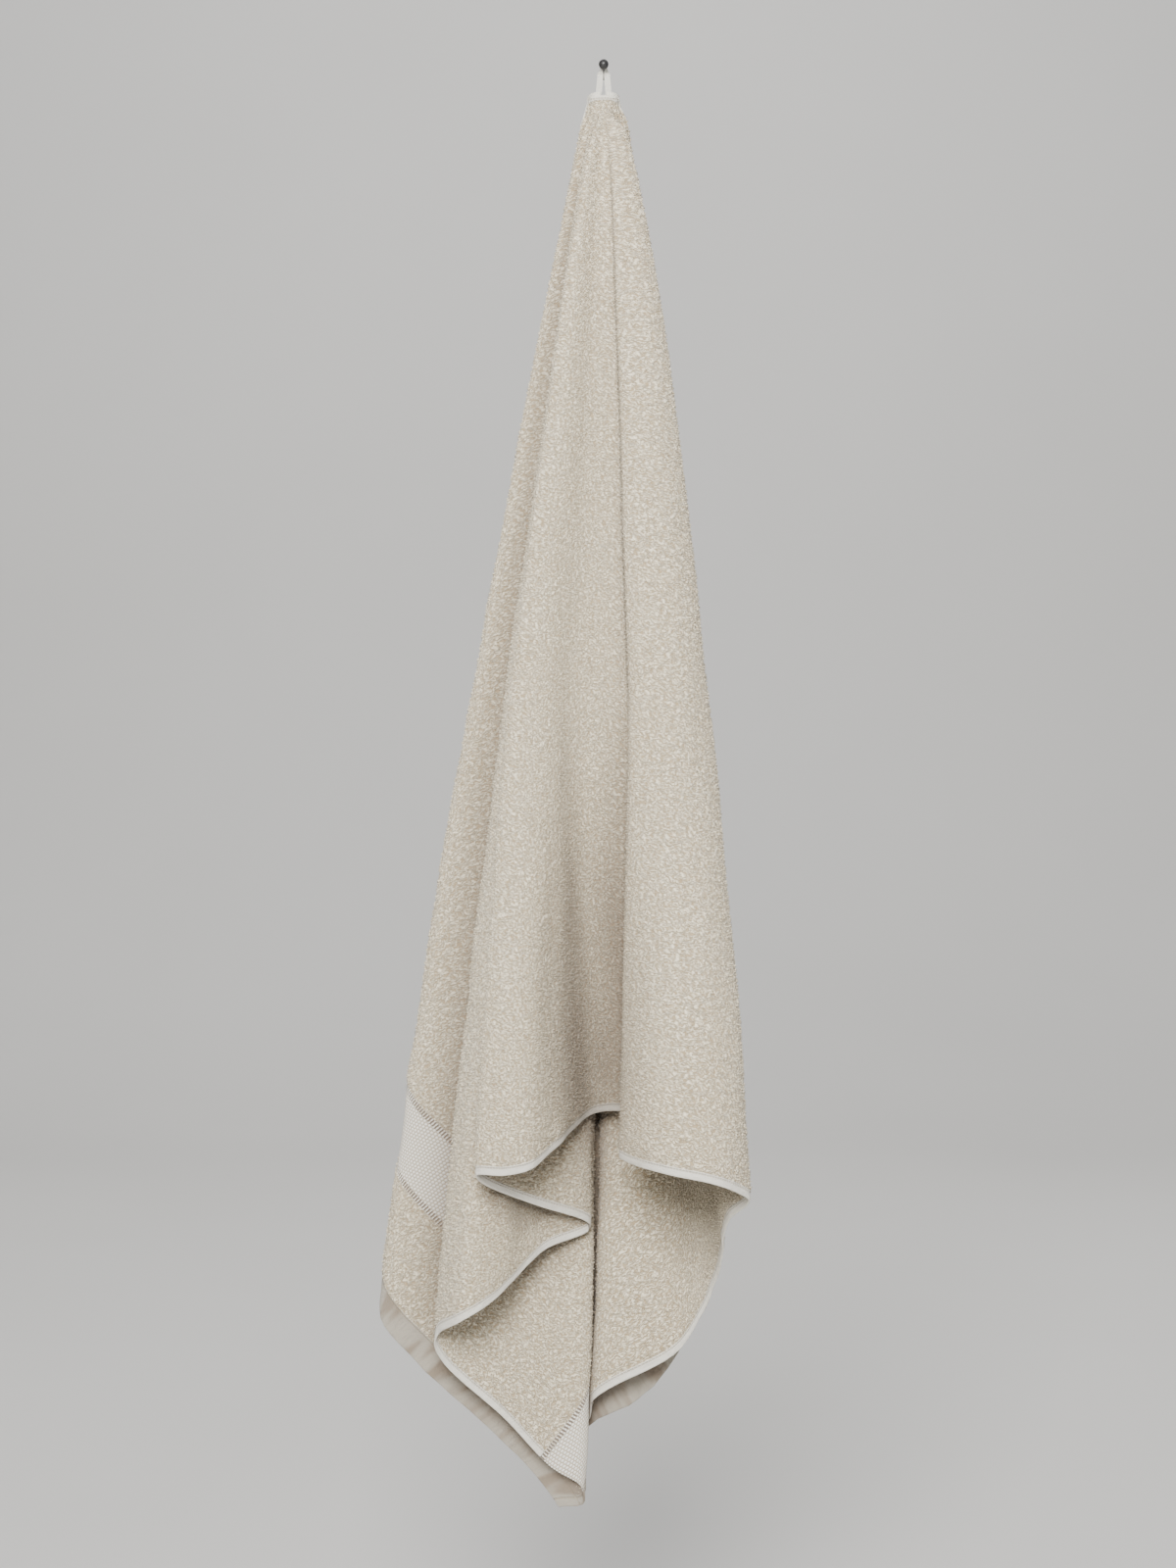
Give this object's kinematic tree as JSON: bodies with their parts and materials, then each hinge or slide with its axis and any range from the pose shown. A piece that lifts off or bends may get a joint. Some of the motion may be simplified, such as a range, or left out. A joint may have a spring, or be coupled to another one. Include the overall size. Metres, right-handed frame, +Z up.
{
  "type": "bath sheet on a hook",
  "caption": "Large ivory terry bath sheet hung in soft folds by the tape loop on its long side from a small round-headed black wall hook.",
  "frame": {"origin": "centre of the hook's flat back face, on the wall", "axes": "+Z up; +Y into the wall, away from the room; +X to the right for someone who looks at the towel from the front"},
  "size_m": [0.337, 0.2287, 1.3562],
  "materials": {
    "terry": "soft looped cotton terry with smooth hems and a woven band near each end",
    "tape": "flat woven cotton tape",
    "black_metal": "black, half gloss"
  },
  "bodies": {
    "root": {"towel": "terry", "loop": "tape", "peg": "black_metal"}
  },
  "joints": []
}
